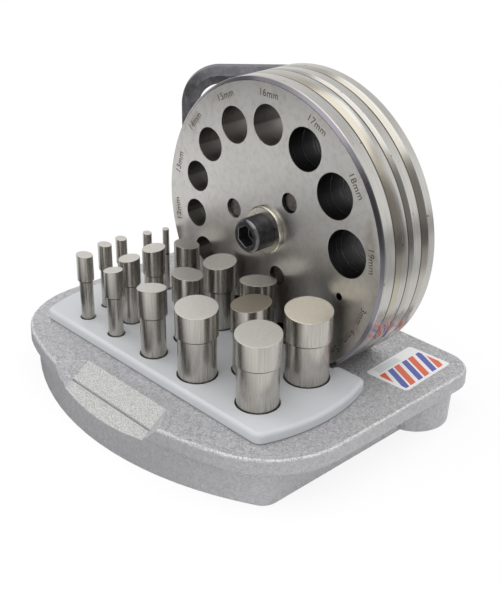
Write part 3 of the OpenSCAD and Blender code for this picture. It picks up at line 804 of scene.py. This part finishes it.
def addLabel():
    wide, tall = labelLook["size"]
    r = labelLook["corner"]
    outline = []
    for cx, cy, start in ((1, 1, 0), (-1, 1, 90), (-1, -1, 180), (1, -1, 270)):
        for step in range(labelLook["cornerSteps"]):
            a = math.radians(start + 90 * step / (labelLook["cornerSteps"] - 1))
            outline.append((cx * (wide / 2 - r) + r * math.cos(a),
                            cy * (tall / 2 - r) + r * math.sin(a)))
    turn = Matrix.Rotation(math.radians(labelLook["turn"]), 4, "Z")
    move = Matrix.Translation((*labelLook["centre"], baseTop)) @ turn
    build = bmesh.new()
    face = build.faces.new([build.verts.new(move @ Vector((x, y, 0))) for x, y in outline])
    raised = bmesh.ops.extrude_face_region(build, geom=[face])["geom"]
    lifted = [v for v in raised if isinstance(v, bmesh.types.BMVert)]
    bmesh.ops.translate(build, verts=lifted, vec=(0, 0, labelLook["thick"]))
    bmesh.ops.recalc_face_normals(build, faces=build.faces)
    mesh = bpy.data.meshes.new("plainLabel")
    build.to_mesh(mesh)
    build.free()
    mesh.materials.append(printedLabel())
    place(meshObject("plainLabel", mesh), "base")


addLabel()
print("label done")

# camera at the photograph's angle
view = {"place": (291.5 * mm, -268.47 * mm, 239.7 * mm), "ahead": (-0.6468, 0.6140, -0.4523),
        "roll": -0.65, "focal": 1058.0, "rows": 600, "sensor": 36}


def addCamera():
    ahead = Vector(view["ahead"]).normalized()
    turn = Matrix.Rotation(math.radians(view["roll"]), 3, ahead)
    right = turn @ ahead.cross(Vector((0, 0, 1))).normalized()
    up = right.cross(ahead)
    lens = bpy.data.cameras.new("photoView")
    lens.sensor_width = view["sensor"]
    lens.lens = view["focal"] * view["sensor"] / view["rows"]
    lens.clip_start = 10 * mm
    eye = bpy.data.objects.new("photoView", lens)
    bpy.context.scene.collection.objects.link(eye)
    columns = (right, up, -ahead, Vector(view["place"]))
    eye.matrix_world = Matrix([[c[i] for c in columns] for i in range(3)] + [[0, 0, 0, 1]])
    bpy.context.scene.camera = eye


# pale floor and white surroundings, whose darker parts, painted shade on the floor and darker
# parts of the sky, are seen only in reflections
stageLook = {"floor": 0.34, "sky": 0.88, "pale": (0.84, 0.84, 0.84), "white": 1.04,
             "shown": 0.82, "fill": 0.40, "frontFill": 0.55, "below": 0.52, "right": 0.70,
             "low": 0.66, "front": 0.60, "high": 0.20, "highFrom": (0.60, 0.75),
             "bright": 0.16, "brightX": (0.10, 0.60), "brightY": (0.30, 0.55),
             "fillFrom": (0.3, -0.7), "aim": (0, 0, 50 * mm)}
rightWay = (0.97, -0.26)
# ways along the ground, and where each darker part begins and ends round and up the sky
skyParts = {"below": ((0.79, 0.61), (0.50, 0.75), (0.04, -0.06)),
            "right": (rightWay, (0.56, 0.74), (0.72, 0.58)),
            "low": ((-0.73, -0.68), (0.45, 0.70), (0.60, 0.50)),
            "front": ((-0.25, -0.90), (0.15, 0.45), (0.60, 0.48))}
floorLook = {"along": (-0.53, -0.848), "across": (-0.848, 0.53), "aside": 10 * mm,
             "spread": 1.5, "sideFrom": (0.0, 0.06), "shadeSectorSpread": (0.45, 0.65),
             "middle": 10 * mm, "bright": 0.90, "shadeSector": 0.50,
             "shadeSectorFrom": (0.16, 0.21), "shade": (0.03, 0.98), "shadeFrom": (0.180, 0.285)}
# name, place, size, power, whether steel mirrors it
lamps = [("overhead", (0.08, -0.05, 1.05), (1.3, 1.3), 5.2, True),
         ("left", (-1.05, -0.40, 0.75), (0.7, 0.7), 3.4, False),
         ("rightBack", (0.60, 0.80, 0.90), (0.7, 0.7), 2.4, False)]


def towards(x, y, way):
    return x * way[0] + y * way[1]


def addFloor():
    size = stageLook["floor"]
    mesh = bpy.data.meshes.new("floor")
    mesh.from_pydata([(-size, -size, 0), (size, -size, 0), (size, size, 0), (-size, size, 0)],
                     [], [(0, 1, 2, 3)])
    f = Finish("paleFloor", Roughness=0.9)
    f.feed(Base_Color=stageLook["pale"])
    ray = f.add("ShaderNodeLightPath", out="Is Camera Ray")
    shiny = ray.also("Is Glossy Ray").calc("MAXIMUM", ray.also("Is Transmission Ray"))
    x, y, z = f.parts(f.here)
    away = (x * x + y * y).calc("SQRT").calc("MAXIMUM", floorLook["middle"])
    # painted shade on the floor, seen only in reflections: a darker sector to the right, and a
    # shadow running out from the base to the front left that brightens with distance
    shadeSector = f.step(towards(x, y, rightWay) / away, *floorLook["shadeSectorSpread"])
    shadeSector = shadeSector * f.step(away, *floorLook["shadeSectorFrom"]) * floorLook["shadeSector"]
    along, across = towards(x, y, floorLook["along"]), towards(x, y, floorLook["across"])
    aside = (across - floorLook["aside"]).calc("ABSOLUTE") * floorLook["spread"]
    shade = f.step(along + aside, *floorLook["shadeFrom"], *floorLook["shade"])
    side = f.step(along, *floorLook["sideFrom"])
    mirrored = (1 - shadeSector) * (1 - side) * floorLook["bright"] + shade * side
    glow = f.add("ShaderNodeEmission", {}, {
        "Strength": (1 - shiny) * stageLook["white"] + shiny * mirrored})
    mesh.materials.append(f.end(f.add("ShaderNodeMixShader", {}, {
        0: (ray * stageLook["shown"]).calc("MAXIMUM", shiny), 1: f.surface, 2: glow})))
    meshObject("floor", mesh)


def addWorld():
    world = bpy.data.worlds.new("studio")
    world.use_nodes = True
    w = Board(world.node_tree)
    w.tree.nodes.clear()
    x, y, z = w.parts(w.add("ShaderNodeTexCoord", out="Generated"))
    bright = w.step(x, *stageLook["brightX"]) * w.step(y, *stageLook["brightY"])
    high = w.step(z, *stageLook["highFrom"])
    pale = stageLook["sky"] - high * stageLook["high"] + bright * stageLook["bright"]
    for name, (way, around, up) in skyParts.items():
        part = w.step(towards(x, y, way), *around) * w.step(z, *up)
        pale = (1 - part * stageLook[name]) * pale
    ray = w.add("ShaderNodeLightPath", out="Is Camera Ray")
    shiny = ray.also("Is Glossy Ray")
    fill = w.step(y, *stageLook["fillFrom"]) * stageLook["frontFill"] + stageLook["fill"]
    strength = ray.calc("MAXIMUM", shiny * pale).calc("MAXIMUM", fill * (1 - shiny))
    light = w.add("ShaderNodeBackground", {}, {"Color": (1, 1, 1), "Strength": strength})
    w.add("ShaderNodeOutputWorld", {}, {"Surface": light})
    bpy.context.scene.world = world


def addLamps():
    for name, at, size, power, mirrored in lamps:
        data = bpy.data.lights.new(name, "AREA")
        data.shape = "RECTANGLE"
        data.size, data.size_y = size
        data.energy = power
        lamp = bpy.data.objects.new(name, data)
        bpy.context.scene.collection.objects.link(lamp)
        lamp.location = at
        lamp.visible_glossy = mirrored
        aim = Vector(stageLook["aim"]) - Vector(at)
        lamp.rotation_euler = aim.to_track_quat("-Z", "Y").to_euler()


addCamera()
addFloor()
addWorld()
addLamps()
bpy.context.scene.view_settings.view_transform = "Standard"
print("camera, floor and light done")
